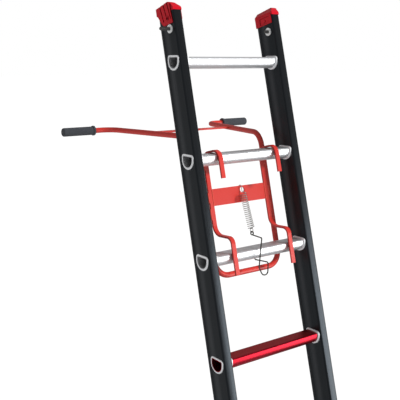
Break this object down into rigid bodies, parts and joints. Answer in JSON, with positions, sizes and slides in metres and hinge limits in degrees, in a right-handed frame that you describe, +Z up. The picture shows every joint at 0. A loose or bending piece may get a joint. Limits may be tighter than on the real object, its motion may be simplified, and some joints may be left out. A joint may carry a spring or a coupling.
{
  "type": "extension ladder",
  "caption": "Leaning two-section extension ladder with hollow D rungs, fly hooks with latches, and a sprung wall stand-off.",
  "frame": {"origin": "on the floor, midway between the two base stiles, at the rung plane of the base section", "axes": "+Z up (plumb), +Y level towards the wall, +X across the ladder to the climber's right; the stiles lean 14 degrees from plumb, so the rung treads are level"},
  "size_m": [0.948, 1.4162, 4.5359],
  "materials": {
    "stile_black": "satin black coated aluminium",
    "rung_silver": "polished drawn aluminium",
    "rung_red": "red anodised aluminium",
    "collar_grey": "matt drawn aluminium",
    "cap_red": "moulded red plastic",
    "plug_black": "moulded black plastic",
    "rubber_black": "moulded black rubber",
    "bar_black": "satin black coated aluminium",
    "standoff_red": "red powder-coated steel",
    "spring_steel": "bright drawn spring wire",
    "hook_black": "black powder-coated steel",
    "stud_black": "black oxide threaded steel",
    "zinc": "bright zinc-plated steel"
  },
  "bodies": {
    "base": {"base_stile_left": "stile_black", "base_stile_right": "stile_black", "base_rung_01": "rung_silver", "base_rung_02": "rung_silver", "base_rung_03": "rung_silver", "base_rung_04": "rung_silver", "base_rung_05": "rung_silver", "base_rung_06": "rung_silver", "base_rung_07": "rung_silver", "base_rung_08": "rung_silver", "base_rung_09": "rung_silver", "base_rung_10": "rung_silver", "base_rung_11": "rung_silver", "base_rung_collars": "collar_grey", "base_guide_left": "cap_red", "base_guide_right": "cap_red", "stile_boot_left": "rubber_black", "stile_boot_right": "rubber_black", "stabiliser_bar": "bar_black", "stabiliser_foot_left": "rubber_black", "stabiliser_foot_right": "rubber_black", "stabiliser_bolts": "zinc", "stabiliser_nuts": "zinc"},
    "fly": {"fly_stile_left": "stile_black", "fly_stile_right": "stile_black", "fly_rung_01": "rung_silver", "fly_rung_02": "rung_silver", "fly_rung_03": "rung_silver", "fly_rung_04": "rung_silver", "fly_rung_05": "rung_silver", "fly_rung_06": "rung_silver", "fly_rung_07": "rung_silver", "fly_rung_08": "rung_red", "fly_rung_09": "rung_silver", "fly_rung_10": "rung_silver", "fly_rung_11": "rung_silver", "fly_rung_collars": "collar_grey", "fly_cap_left": "cap_red", "fly_cap_right": "cap_red", "fly_end_plug_left": "plug_black", "fly_end_plug_right": "plug_black", "cap_studs": "stud_black", "stud_washers": "zinc", "section_hook_left": "hook_black", "section_hook_right": "hook_black", "hook_rivets": "zinc", "latch_pins": "zinc", "standoff_tube": "standoff_red", "standoff_brace": "standoff_red", "standoff_grip_left": "rubber_black", "standoff_grip_right": "rubber_black", "hook_strap_left": "standoff_red", "hook_strap_right": "standoff_red", "cross_plate": "standoff_red", "tension_spring": "spring_steel"},
    "latch_left": {"latch_left": "zinc"},
    "latch_right": {"latch_right": "zinc"},
    "spring_hook": {"wire_hook": "spring_steel"}
  },
  "joints": [
    {"name": "fly_slide", "type": "slide", "parent": "base", "child": "fly", "axis": [0, 0.2419, 0.9703], "range_m": [-1.5, 0]},
    {"name": "latch_left_swing", "type": "hinge", "parent": "fly", "child": "latch_left", "pos_m": [-0.1438, 0.43778, 1.92322], "axis": [-1, 0, 0], "range_deg": [0, 75]},
    {"name": "latch_right_swing", "type": "hinge", "parent": "fly", "child": "latch_right", "pos_m": [0.1438, 0.43778, 1.92322], "axis": [-1, 0, 0], "range_deg": [0, 75]},
    {"name": "spring_hook_pull", "type": "slide", "parent": "fly", "child": "spring_hook", "axis": [0, -0.2419, -0.9703], "range_m": [0, 0.025], "stiffness_N_per_m": 400, "springref_m": -0.04, "deforming": ["tension_spring"]}
  ]
}
